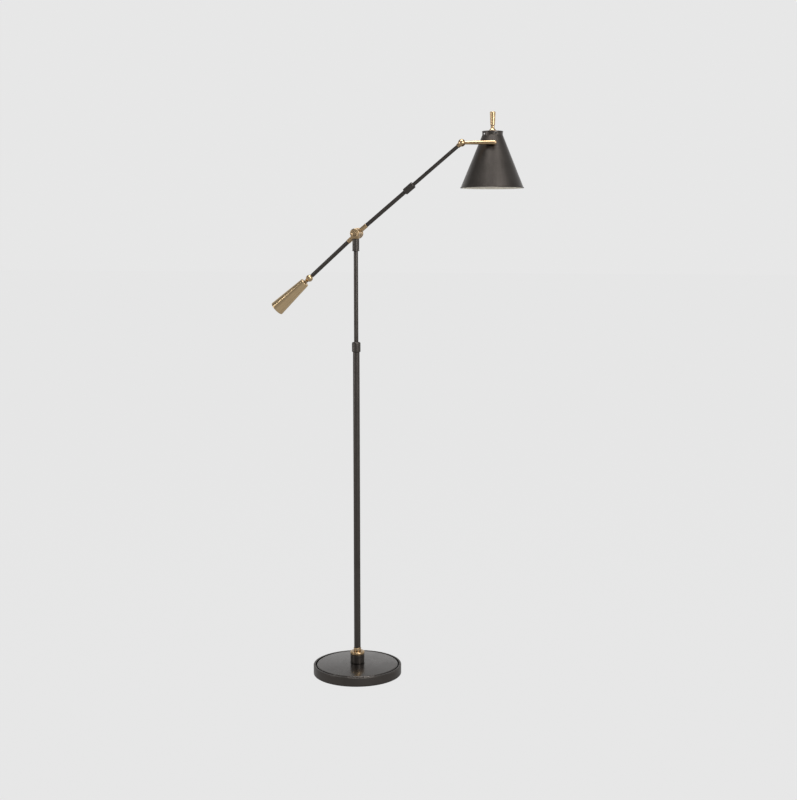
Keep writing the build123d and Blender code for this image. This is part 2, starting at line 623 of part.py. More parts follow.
# ---------------------------------------------------------------- build
base_shell()
base_inside()
cord_grommet()
hub()
mast()
mast_collar()
mast_head()
tension_knob()
arm_hub()
arm_tubes()
arm_collar()
front_knuckle()
rear_knuckle()
side_rod()
shade()
lampholder()
bulb()
switch_knob()

os.makedirs("parts", exist_ok=True)
for name, shape in parts.items():
    export_step(shape, f"parts/{name}.step")
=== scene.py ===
import math

import bmesh
import bpy
from mathutils import Matrix, Vector, noise


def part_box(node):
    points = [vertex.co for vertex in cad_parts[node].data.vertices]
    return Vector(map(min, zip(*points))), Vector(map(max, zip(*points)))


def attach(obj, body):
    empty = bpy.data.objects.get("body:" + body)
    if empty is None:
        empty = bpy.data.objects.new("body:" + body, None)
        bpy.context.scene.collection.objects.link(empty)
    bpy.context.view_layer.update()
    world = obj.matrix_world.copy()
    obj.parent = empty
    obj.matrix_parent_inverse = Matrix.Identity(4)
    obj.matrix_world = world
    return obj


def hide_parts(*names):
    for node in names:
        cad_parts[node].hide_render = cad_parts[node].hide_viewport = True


bl_info = {
    "name": "Pharmacy Floor Lamp",
    "version": (1, 0, 0),
    "blender": (4, 5, 0),
    "location": "View3D > Sidebar > Floor Lamp",
    "description": "Finishes, fine turned pieces and studio stage of a bronze and brass floor lamp",
    "category": "Object",
}

# Metres, +Z up, the base standing on Z = 0 and the shade out along +X, as in the frame.
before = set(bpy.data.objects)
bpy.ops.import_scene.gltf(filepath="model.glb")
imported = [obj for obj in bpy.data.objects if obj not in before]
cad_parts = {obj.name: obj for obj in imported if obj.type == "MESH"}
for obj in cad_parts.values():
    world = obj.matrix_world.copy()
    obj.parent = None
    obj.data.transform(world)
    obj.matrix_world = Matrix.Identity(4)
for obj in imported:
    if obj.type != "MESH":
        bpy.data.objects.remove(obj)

MM = 0.001
UP = Vector((0, 0, 1))


# ---------------------------------------------------------------- places taken from the frame
def middle(node):
    """Centre of a node's box."""
    low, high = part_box(node)
    return (low + high) / 2


PIVOT = middle("pivot_bolt")
SHADE_AXIS = middle("shade_cap")
ROD_END = middle("pivot_post")
FRONT_RUN = (middle("extension_tube") - middle("front_tube")).normalized()
REAR_RUN = (middle("counterweight") - middle("rear_tube")).normalized()
ROD_RUN = Vector((1, 0, 0))
CROSS_RUN = Vector((0, 1, 0))

# Each finish that has turning or drawing lines is made once for each of these centre lines.
LINES = {
    "mast": (Vector((0, 0, 0)), UP),
    "shade": (SHADE_AXIS, UP),
    "pivot": (PIVOT, CROSS_RUN),
    "front_arm": (middle("front_tube"), FRONT_RUN),
    "rear_arm": (middle("rear_tube"), REAR_RUN),
    "rod": (middle("side_rod"), ROD_RUN),
    "post": (ROD_END, CROSS_RUN),
    "rear_ball": (middle("rear_knuckle_screw"), CROSS_RUN),
}


# ---------------------------------------------------------------- user settings
def colour(name, description, default):
    """A colour setting."""
    return bpy.props.FloatVectorProperty(
        name=name, description=description, subtype="COLOR", size=3, min=0, max=1, default=default)


def length(name, description, default, low=0.0, high=10.0):
    """A length setting in metres."""
    return bpy.props.FloatProperty(
        name=name, description=description, unit="LENGTH", min=low, max=high, precision=5, default=default)


def factor(name, description, default):
    """A share from 0 to 1."""
    return bpy.props.FloatProperty(
        name=name, description=description, subtype="FACTOR", min=0, max=1, default=default)


class LampColours(bpy.types.PropertyGroup):
    """Colours of the lamp's finishes."""
    bronze: colour("Bronze", "Darkened bronze of the tubes, rim and shade", (0.112, 0.100, 0.091))
    bronze_dark: colour("Bronze, dark", "Deeper patches of the darkened bronze", (0.072, 0.063, 0.056))
    # The rubbed colours brighten every outside edge: rubbed wear, and also a painted edge highlight.
    bronze_rub: colour("Bronze, rubbed", "Metal that shows where edges are handled", (0.30, 0.24, 0.18))
    brass: colour("Brass", "Aged brass of knuckles, rod and knobs", (0.76, 0.55, 0.32))
    brass_light: colour("Brass, brushed", "Pale brushed brass of the counterweight", (0.92, 0.69, 0.41))
    brass_dark: colour("Brass, dark", "Brown bloom on the aged brass", (0.34, 0.22, 0.12))
    # Rubbed brass edges are rubbed wear and also a painted edge highlight.
    brass_rub: colour("Brass, rubbed", "Bright metal on the brass edges", (0.94, 0.78, 0.55))
    steel: colour("Steel", "Zinc plated hardware", (0.56, 0.57, 0.58))
    iron: colour("Cast iron", "Painted casting in the base", (0.045, 0.045, 0.047))
    enamel: colour("Enamel", "Warm white inside of the shade", (0.90, 0.86, 0.76))
    felt: colour("Felt", "Pad under the base", (0.030, 0.033, 0.030))
    phenolic: colour("Phenolic", "Moulded lampholder", (0.020, 0.017, 0.015))
    rubber: colour("Rubber", "Cord grommet", (0.018, 0.018, 0.019))
    nylon: colour("Nylon", "Guides and washers", (0.78, 0.76, 0.70))
    glass: colour("Bulb glass", "Frosted bulb", (0.93, 0.92, 0.88))
    plating: colour("Bulb cap plating", "Nickel plating of the bulb's cap", (0.66, 0.64, 0.58))


class LampSizes(bpy.types.PropertyGroup):
    """Sizes of the detail on the lamp's pieces."""
    # The edge band is rubbed wear and also a painted edge highlight.
    edge_rub: length("Edge rub", "Width of the rubbed band on an edge", 0.0007)
    line_depth: length("Line depth", "Depth of turning and drawing lines", 0.00002)
    grain_depth: length("Grain depth", "Depth of the lacquer's grain", 0.00003)
    thread_pitch: length("Thread pitch", "Pitch of the bulb cap's thread", 0.0036)
    thread_depth: length("Thread depth", "Depth of the bulb cap's thread", 0.0011)
    holder_pitch: length("Holder pitch", "Pitch of the lampholder's outside thread", 0.0025)
    holder_depth: length("Holder depth", "Depth of the lampholder's outside thread", 0.0009)
    felt_fuzz: length("Felt fuzz", "How uneven the felt's edge is", 0.00025)


class LampStage(bpy.types.PropertyGroup):
    """Camera, floor and light."""
    camera_azimuth: bpy.props.FloatProperty(
        name="Camera azimuth", description="Camera's side-step round the mast", subtype="ANGLE",
        default=math.radians(14))
    camera_distance: length("Camera distance", "Camera's distance from the mast, level", 3.661)
    camera_height: length("Camera height", "Camera's height above the floor", 1.242)
    heading: bpy.props.FloatProperty(
        name="Heading", description="Camera's turn from the +Y direction", subtype="ANGLE",
        default=math.radians(-12.165))
    pitch: bpy.props.FloatProperty(
        name="Pitch", description="Camera's tilt, up is positive", subtype="ANGLE",
        default=math.radians(-7.103))
    lens: bpy.props.FloatProperty(
        name="Lens", description="Focal length", subtype="DISTANCE_CAMERA", unit="CAMERA", default=59.535)
    backdrop: factor("Backdrop", "Brightness of the plain floor and backdrop", 0.80)
    room_left: factor("Room, left", "Brightness of the room's left side, behind the camera", 0.40)
    room_right: factor("Room, right", "Brightness of the room's right side, behind the camera", 0.85)
    ceiling: factor("Ceiling", "Brightness high up, next to that at eye level", 0.45)


# ---------------------------------------------------------------- node trees
class Graph:
    """Short ways to add and join the nodes of one tree."""

    def __init__(self, tree):
        self.tree = tree

    def feed(self, socket, value):
        """Links a socket to an output, or sets its value."""
        if isinstance(value, bpy.types.NodeSocket):
            self.tree.links.new(value, socket)
        elif hasattr(value, "__len__") and len(socket.default_value) == 4 and len(value) == 3:
            socket.default_value = (*value, 1)
        else:
            socket.default_value = value

    def add(self, kind, inputs=None, **settings):
        """A new node with its settings, and its inputs linked or set."""
        node = self.tree.nodes.new(kind)
        for name, value in settings.items():
            setattr(node, name, value)
        for name, value in (inputs or {}).items():
            self.feed(node.inputs[name], value)
        return node

    def maths(self, operation, *values, clamp=False):
        """Result of a maths node."""
        node = self.add("ShaderNodeMath", operation=operation, use_clamp=clamp)
        for index, value in enumerate(values):
            self.feed(node.inputs[index], value)
        return node.outputs[0]

    def vector(self, operation, *values, output="Vector", scale=None):
        """Result of a vector maths node."""
        node = self.add("ShaderNodeVectorMath", operation=operation)
        for index, value in enumerate(values):
            self.feed(node.inputs[index], value)
        if scale is not None:
            self.feed(node.inputs["Scale"], scale)
        return node.outputs[output]

    def blend(self, share, first, second):
        """Colour between two colours."""
        node = self.add("ShaderNodeMix", data_type="RGBA")
        self.feed(node.inputs[0], share)
        self.feed(node.inputs[6], first)
        self.feed(node.inputs[7], second)
        return node.outputs[2]

    def spread(self, value, low, high, out_low=0.0, out_high=1.0):
        """Value moved from one range to another and held inside it."""
        node = self.add("ShaderNodeMapRange", clamp=True)
        for index, entry in enumerate((value, low, high, out_low, out_high)):
            self.feed(node.inputs[index], entry)
        return node.outputs[0]

    def speckle(self, vector, scale, detail=3.0, roughness=0.55):
        """Noise from 0 to 1 at a scale in features per metre."""
        node = self.add("ShaderNodeTexNoise", {"Scale": scale, "Detail": detail, "Roughness": roughness})
        if vector is not None:
            self.feed(node.inputs["Vector"], vector)
        return node.outputs["Fac"]

    def place(self):
        """Place on the piece, in the frame's metres at rest."""
        return self.add("ShaderNodeTexCoord").outputs["Object"]


SOCKETS = {"float": "NodeSocketFloat", "vector": "NodeSocketVector", "colour": "NodeSocketColor"}


def new_group(name, inputs, outputs):
    """Empty shader group with named sockets: its graph, its input node and its output node."""
    tree = bpy.data.node_groups.new(name, "ShaderNodeTree")
    for label, kind, default in inputs:
        socket = tree.interface.new_socket(name=label, in_out="INPUT", socket_type=SOCKETS[kind])
        socket.default_value = default
    for label, kind in outputs:
        tree.interface.new_socket(name=label, in_out="OUTPUT", socket_type=SOCKETS[kind])
    graph = Graph(tree)
    return graph, graph.add("NodeGroupInput").outputs, graph.add("NodeGroupOutput").inputs


def lathe_lines():
    """Fine rings round a centre line, as a lathe tool or a spinning polish leaves them."""
    graph, given, result = new_group(
        "Lathe Lines",
        [("Centre", "vector", (0, 0, 0)), ("Axis", "vector", (0, 0, 1)), ("Fineness", "float", 2500.0)],
        [("Height", "float"), ("Streak", "float")],
    )
    offset = graph.vector("SUBTRACT", graph.place(), given["Centre"])
    along = graph.vector("DOT_PRODUCT", offset, given["Axis"], output="Value")
    outward = graph.vector("SUBTRACT", offset, graph.vector("SCALE", given["Axis"], scale=along))
    radius = graph.vector("LENGTH", outward, output="Value")
    spot = graph.add("ShaderNodeCombineXYZ", {
        "X": graph.maths("MULTIPLY", along, given["Fineness"]),
        "Y": graph.maths("MULTIPLY", radius, given["Fineness"]),
    }).outputs[0]
    fine = graph.speckle(spot, 1.0, detail=4.0, roughness=0.7)
    broad = graph.speckle(spot, 0.12, detail=2.0)
    patch = graph.speckle(graph.place(), 60.0, detail=1.0)
    graph.feed(result["Height"], graph.maths("MULTIPLY", fine, graph.spread(patch, 0.3, 0.7, 0.5, 1.0)))
    graph.feed(result["Streak"], graph.spread(graph.maths("ADD", fine, broad), 0.7, 1.3))
    return graph.tree


def drawn_lines():
    """Long fine scratches along a tube or bar, as drawing and hand polishing leave them."""
    graph, given, result = new_group(
        "Drawn Lines",
        [("Axis", "vector", (0, 0, 1)), ("Fineness", "float", 1800.0), ("Stretch", "float", 60.0)],
        [("Height", "float"), ("Streak", "float")],
    )
    place = graph.place()
    along = graph.vector("DOT_PRODUCT", place, given["Axis"], output="Value")
    lengthwise = graph.vector("SCALE", given["Axis"], scale=along)
    across = graph.vector("SUBTRACT", place, lengthwise)
    squeezed = graph.maths("DIVIDE", given["Fineness"], given["Stretch"])
    spot = graph.vector(
        "ADD", graph.vector("SCALE", across, scale=given["Fineness"]),
        graph.vector("SCALE", lengthwise, scale=squeezed))
    fine = graph.speckle(spot, 1.0, detail=3.0, roughness=0.6)
    broad = graph.speckle(spot, 0.2, detail=2.0)
    graph.feed(result["Height"], fine)
    graph.feed(result["Streak"], graph.spread(graph.maths("ADD", fine, broad), 0.7, 1.3))
    return graph.tree


def patina():
    """Uneven colour of a chemically darkened or slowly tarnished metal, with its soft grain."""
    graph, given, result = new_group(
        "Patina",
        [("Colour", "colour", (0.5, 0.5, 0.5, 1)), ("Bloom", "colour", (0.2, 0.2, 0.2, 1)),
         ("Patch Scale", "float", 30.0), ("Amount", "float", 0.5), ("Grain Scale", "float", 1400.0)],
        [("Colour", "colour"), ("Mask", "float"), ("Grain", "float")],
    )
    place = graph.place()
    drift = graph.add("ShaderNodeTexNoise", {"Vector": place, "Scale": 14.0, "Detail": 2.0}).outputs["Color"]
    swayed = graph.vector("ADD", place, graph.vector("SCALE", drift, scale=0.02))
    patches = graph.speckle(swayed, given["Patch Scale"], detail=5.0, roughness=0.62)
    flecks = graph.speckle(place, graph.maths("MULTIPLY", given["Patch Scale"], 14.0), detail=3.0)
    grain = graph.speckle(place, given["Grain Scale"], detail=2.0)
    mixed = graph.maths("ADD", graph.maths("MULTIPLY", patches, 0.7), graph.maths("MULTIPLY", flecks, 0.3))
    mask = graph.spread(mixed, 0.36, 0.64)
    graph.feed(result["Mask"], mask)
    graph.feed(result["Grain"], grain)
    graph.feed(result["Colour"], graph.blend(
        graph.maths("MULTIPLY", mask, given["Amount"]), given["Colour"], given["Bloom"]))
    return graph.tree


def edge_rub():
    """Mask of outside edges, broken up as rubbing leaves them, for rubbed wear that is also a painted edge
    highlight; and a mask of painted shade where nearby surfaces close in on corners, grooves and gaps between
    parts.
    """
    graph, given, result = new_group(
        "Edge Rub",
        [("Width", "float", 0.0007), ("Break Scale", "float", 350.0)],
        [("Rub", "float"), ("Crevice", "float")],
    )
    flat = graph.add("ShaderNodeNewGeometry").outputs["Normal"]
    rounded = graph.add("ShaderNodeBevel", {"Radius": given["Width"]}, samples=4).outputs[0]
    turn = graph.vector("DOT_PRODUCT", flat, rounded, output="Value")
    edge = graph.spread(turn, 0.995, 0.90)
    open_air = graph.add("ShaderNodeAmbientOcclusion", {"Distance": 0.007}, samples=4).outputs["AO"]
    broken = graph.spread(graph.speckle(graph.place(), given["Break Scale"], detail=3.0), 0.38, 0.60, 0.25, 1.0)
    # The rub mask lightens every open outside edge: rubbed wear, and also a painted edge highlight.
    rub = graph.maths("MULTIPLY", edge, graph.spread(open_air, 0.75, 0.95))
    graph.feed(result["Rub"], graph.maths("MULTIPLY", rub, broken, clamp=True))
    # Painted shade: the less open air round a point, the darker it gets, as shade falls in corners, grooves and
    # between parts.
    graph.feed(result["Crevice"], graph.spread(open_air, 0.85, 0.35))
    return graph.tree


def handling():
    """Soft smears and fine dust that vary the gloss."""
    graph, given, result = new_group(
        "Handling",
        [("Low", "float", 0.3), ("High", "float", 0.5), ("Scale", "float", 22.0)],
        [("Roughness", "float"), ("Dust", "float")],
    )
    coordinates = graph.add("ShaderNodeTexCoord").outputs
    smear = graph.speckle(coordinates["Object"], given["Scale"], detail=4.0, roughness=0.6)
    motes = graph.speckle(coordinates["Object"], 900.0, detail=2.0)
    upward = graph.add("ShaderNodeSeparateXYZ", {"Vector": coordinates["Normal"]}).outputs["Z"]
    graph.feed(result["Roughness"], graph.spread(smear, 0.32, 0.68, given["Low"], given["High"]))
    graph.feed(result["Dust"], graph.maths(
        "MULTIPLY", graph.spread(upward, 0.3, 1.0), graph.spread(motes, 0.55, 0.75)))
    return graph.tree


GROUP_MAKERS = {
    "Lathe Lines": lathe_lines,
    "Drawn Lines": drawn_lines,
    "Patina": patina,
    "Edge Rub": edge_rub,
    "Handling": handling,
}


def group(graph, name, **inputs):
    """Outputs of a shared effect placed in a material with its own values."""
    tree = bpy.data.node_groups.get(name) or GROUP_MAKERS[name]()
    labels = {key.replace("_", " ").title(): value for key, value in inputs.items()}
    return graph.add("ShaderNodeGroup", labels, node_tree=tree).outputs


# ---------------------------------------------------------------- materials
def material(name):
    """New material with one Principled shader: the material, its graph and its shader's inputs."""
    made = bpy.data.materials.new(name)
    made.use_nodes = True
    graph = Graph(made.node_tree)
    made.node_tree.nodes.clear()
    shader = graph.add("ShaderNodeBsdfPrincipled")
    graph.add("ShaderNodeOutputMaterial", {"Surface": shader.outputs[0]})
    return made, graph, shader.inputs


def bump(graph, height, distance, strength=1.0, under=None):
    """Normal from a height, over another normal if one is given."""
    node = graph.add("ShaderNodeBump", {"Height": height, "Distance": distance, "Strength": strength})
    if under is not None:
        graph.feed(node.inputs["Normal"], under)
    return node.outputs[0]


def once(name, make):
    """Material of that name, made the first time it is asked for."""
    return bpy.data.materials.get(name) or make(name)


def metal(name, line, colours, gloss, lines="Lathe Lines", fineness=2500.0, bloom=0.5, patch=30.0,
          rub=0.6, crevice=0.5, coat=0.0, depth=1.0, streak=0.18):
    """Aged metal: patina, turning or drawing lines, rubbed edges that are also a painted edge highlight,
    painted shade in corners and between parts, and handled gloss.
    """
    sizes = bpy.context.scene.lamp_sizes
    made, graph, shader = material(name)
    centre, axis = LINES[line]
    base, dark, bright = colours
    age = group(graph, "Patina", colour=base, bloom=dark, patch_scale=patch, amount=bloom)
    edge = group(graph, "Edge Rub", width=sizes.edge_rub)
    touch = group(graph, "Handling", low=gloss[0], high=gloss[1])
    if lines == "Lathe Lines":
        marks = group(graph, lines, centre=centre, axis=axis, fineness=fineness)
    else:
        marks = group(graph, lines, axis=axis, fineness=fineness)
    # Colour streaks along the lines; where they are set strong, as on the counterweight, they are partly
    # painted reflection bands.
    streaked = graph.blend(graph.maths("MULTIPLY", marks["Streak"], streak), age["Colour"], dark)
    # Edges take the rubbed colour: rubbed wear, and also a painted highlight on every outside edge.
    rubbed_and_highlit = graph.blend(graph.maths("MULTIPLY", edge["Rub"], rub), streaked, bright)
    # Painted shade: darkened towards almost black where nearby surfaces close in, in corners, grooves and
    # between parts.
    corner_shaded = graph.blend(graph.maths("MULTIPLY", edge["Crevice"], crevice), rubbed_and_highlit, Vector(dark) * 0.15)
    graph.feed(shader["Base Color"], corner_shaded)
    worn = graph.maths("SUBTRACT", touch["Roughness"], graph.maths("MULTIPLY", edge["Rub"], 0.08))
    lined = graph.maths("ADD", worn, graph.spread(marks["Streak"], 0, 1, -0.03, 0.03))
    graph.feed(shader["Roughness"], graph.maths("ADD", lined, graph.maths("MULTIPLY", touch["Dust"], 0.04)))
    shader["Metallic"].default_value = 1.0
    if coat:
        shader["Coat Weight"].default_value = coat
        shader["Coat Roughness"].default_value = 0.12
    scored = bump(graph, marks["Height"], sizes.line_depth * depth)
    graph.feed(shader["Normal"], bump(graph, age["Grain"], sizes.grain_depth * depth, under=scored))
    return made


def palette(*names):
    """Colours of the settings by name."""
    colours = bpy.context.scene.lamp_colours
    return [tuple(getattr(colours, name)) for name in names]


def bronze(line, drawn=False):
    """Satin darkened bronze."""
    return once(f"bronze_{line}{'_drawn' if drawn else ''}", lambda name: metal(
        name, line, palette("bronze", "bronze_dark", "bronze_rub"), gloss=(0.34, 0.46),
        lines="Drawn Lines" if drawn else "Lathe Lines", bloom=0.45, patch=26.0, rub=0.35, crevice=0.95,
        coat=0.15, depth=0.5 if drawn else 1.0))


def dish_bronze():
    """Polished darkened bronze of the dish, under clear lacquer."""
    return once("bronze_dish", lambda name: metal(
        name, "mast", palette("bronze", "bronze_dark", "bronze_rub"), gloss=(0.26, 0.34), fineness=900.0,
        bloom=0.6, patch=18.0, rub=0.7, crevice=0.9, coat=0.5, depth=0.25))


def brass(line, drawn=False):
    """Aged polished brass."""
    return once(f"brass_{line}{'_drawn' if drawn else ''}", lambda name: metal(
        name, line, palette("brass", "brass_dark", "brass_rub"), gloss=(0.16, 0.30),
        lines="Drawn Lines" if drawn else "Lathe Lines", bloom=0.45, patch=55.0, rub=0.5, crevice=0.85))


def brushed_brass_painted_bands():
    """Brass of the counterweight, brushed along its length; its strong lengthwise colour streaks are brushing
    marks and also painted reflection bands.
    """
    return once("brass_brushed", lambda name: metal(
        name, "rear_arm", palette("brass_light", "brass_dark", "brass_rub"), gloss=(0.16, 0.26),
        # Strong streaks: brushing marks, and also painted reflection bands along the length.
        lines="Drawn Lines", fineness=300.0, bloom=0.1, patch=40.0, rub=0.8, depth=0.3, streak=0.30))


def steel(line="mast"):
    """Zinc plated steel."""
    return once(f"steel_{line}", lambda name: metal(
        # The third colour is the rubbed edge colour: rubbed wear, and also a painted edge highlight.
        name, line, [*palette("steel"), (0.32, 0.31, 0.29), (0.8, 0.8, 0.8)], gloss=(0.28, 0.42),
        bloom=0.4, patch=90.0, rub=0.4))


def cast_iron():
    """Rough casting under black paint."""
    def make(name):
        made, graph, shader = material(name)
        age = group(graph, "Patina", colour=palette("iron")[0], bloom=(0.09, 0.05, 0.03),
                    patch_scale=45.0, amount=0.5, grain_scale=500.0)
        touch = group(graph, "Handling", low=0.55, high=0.8)
        graph.feed(shader["Base Color"], age["Colour"])
        graph.feed(shader["Roughness"], touch["Roughness"])
        shader["Metallic"].default_value = 0.3
        graph.feed(shader["Normal"], bump(graph, age["Grain"], 0.0006))
        return made
    return once("cast_iron", make)


def moulded(name, base, tint, gloss, grain=600.0, relief=0.00004, coat=0.0):
    """Moulded or lacquered stuff that isn't metal: uneven tint, fine grain, handled gloss."""
    def make(label):
        made, graph, shader = material(label)
        age = group(graph, "Patina", colour=base, bloom=tint, patch_scale=35.0, amount=0.6, grain_scale=grain)
        edge = group(graph, "Edge Rub", width=bpy.context.scene.lamp_sizes.edge_rub)
        touch = group(graph, "Handling", low=gloss[0], high=gloss[1])
        # Painted shade: darkened where nearby surfaces close in, in corners and between parts.
        corner_shaded = graph.blend(graph.maths("MULTIPLY", edge["Crevice"], 0.5), age["Colour"], Vector(tint) * 0.5)
        graph.feed(shader["Base Color"], corner_shaded)
        graph.feed(shader["Roughness"], touch["Roughness"])
        if coat:
            shader["Coat Weight"].default_value = coat
        graph.feed(shader["Normal"], bump(graph, age["Grain"], relief))
        return made
    return once(name, make)


def phenolic():
    """Dark moulded phenolic with a soft shine."""
    return moulded("phenolic", palette("phenolic")[0], (0.05, 0.03, 0.02), (0.22, 0.38), coat=0.3)


def plating():
    """Nickel plating of the bulb's screw cap."""
    return once("plating_shade", lambda name: metal(
        # The third colour is the rubbed edge colour: rubbed wear, and also a painted edge highlight.
        name, "shade", [*palette("plating"), (0.40, 0.36, 0.28), (0.85, 0.84, 0.8)], gloss=(0.2, 0.34)))


def felt():
    """Pressed wool felt: matted fibres that lie every way."""
    def make(name):
        made, graph, shader = material(name)
        base = palette("felt")[0]
        place = graph.place()
        mats = []
        for turn in ((1, 0.08, 0.4), (0.08, 1, 0.4), (0.6, 0.6, 0.2)):
            mats.append(graph.speckle(graph.vector("MULTIPLY", place, turn), 2600.0, detail=4.0, roughness=0.7))
        fibres = graph.maths("MAXIMUM", graph.maths("MAXIMUM", mats[0], mats[1]), mats[2])
        age = group(graph, "Patina", colour=base, bloom=Vector(base) * 2.4, patch_scale=60.0, amount=0.4)
        lint = graph.spread(fibres, 0.6, 0.8)
        graph.feed(shader["Base Color"], graph.blend(
            graph.maths("MULTIPLY", lint, 0.5), age["Colour"], (0.11, 0.12, 0.11)))
        graph.feed(shader["Roughness"], graph.spread(fibres, 0.3, 0.8, 0.85, 1.0))
        shader["Sheen Weight"].default_value = 0.4
        shader["Sheen Roughness"].default_value = 0.5
        graph.feed(shader["Normal"], bump(graph, fibres, 0.0004))
        return made
    return once("wool_felt", make)


def frosted_glass():
    """Etched glass of the bulb, milky with a fine tooth."""
    def make(name):
        made, graph, shader = material(name)
        age = group(graph, "Patina", colour=palette("glass")[0], bloom=(0.86, 0.84, 0.78),
                    patch_scale=50.0, amount=0.4, grain_scale=2500.0)
        touch = group(graph, "Handling", low=0.32, high=0.45)
        graph.feed(shader["Base Color"], age["Colour"])
        graph.feed(shader["Roughness"], touch["Roughness"])
        shader["Metallic"].default_value = 0.0
        shader["Transmission Weight"].default_value = 0.35
        shader["IOR"].default_value = 1.5
        graph.feed(shader["Normal"], bump(graph, age["Grain"], 0.00002))
        return made
    return once("frosted_glass", make)


def dress(made, *nodes):
    """Gives CAD nodes or pieces a material."""
    for node in nodes:
        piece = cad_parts[node] if isinstance(node, str) else node
        if not piece.material_slots:
            piece.data.materials.append(made)
        for entry in piece.material_slots:
            entry.material = made


# ---------------------------------------------------------------- mesh helpers
def stand(mesh, node):
    """Moves a mesh made about the origin to the foot of a node's own centre line."""
    centre = middle(node)
    mesh.transform(Matrix.Translation((centre.x, centre.y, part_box(node)[0].z)))


def new_piece(name, mesh, body, made):
    """Object of a finished mesh, riding on a body and material."""
    piece = bpy.data.objects.new(name, mesh)
    bpy.context.scene.collection.objects.link(piece)
    mesh.shade_smooth()
    mesh.materials.append(made)
    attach(piece, body)
    return piece


def lathe(name, outline, segments=128, radial=None, least=0.0):
    """Closed turned mesh about Z from (radius, height) points, both ends on the axis.

    radial(angle, height) may add to the radius of every point that is more than least from the axis."""
    shape = bmesh.new()
    rings = []
    for radius, height in outline:
        if radius == 0:
            rings.append([shape.verts.new((0, 0, height))])
            continue
        ring = []
        for index in range(segments):
            angle = 2 * math.pi * index / segments
            reach = radius + (radial(angle, height) if radial and radius > least else 0.0)
            ring.append(shape.verts.new((reach * math.cos(angle), reach * math.sin(angle), height)))
        rings.append(ring)
    for low, high in zip(rings, rings[1:]):
        for index in range(segments):
            after = (index + 1) % segments
            if len(low) == 1:
                shape.faces.new((low[0], high[index], high[after]))
            elif len(high) == 1:
                shape.faces.new((low[index], high[0], low[after]))
            else:
                shape.faces.new((low[index], high[index], high[after], low[after]))
    bmesh.ops.recalc_face_normals(shape, faces=shape.faces)
    mesh = bpy.data.meshes.new(name)
    shape.to_mesh(mesh)
    shape.free()
    return mesh


def steps(low, high, count):
    """Evenly spaced values from low to high, both included."""
    return [low + (high - low) * index / count for index in range(count + 1)]


def screw_thread(low, high, pitch, depth):
    """Rounded thread for lathe(): how far each point of a wall lies below the crest."""
    run_out = pitch / 2

    def radial(angle, height):
        if not low < height < high:
            return 0.0
        fade = min(1.0, (height - low) / run_out, (high - height) / run_out)
        return -depth * fade * (0.5 + 0.5 * math.cos(2 * math.pi * height / pitch - angle))
    return radial


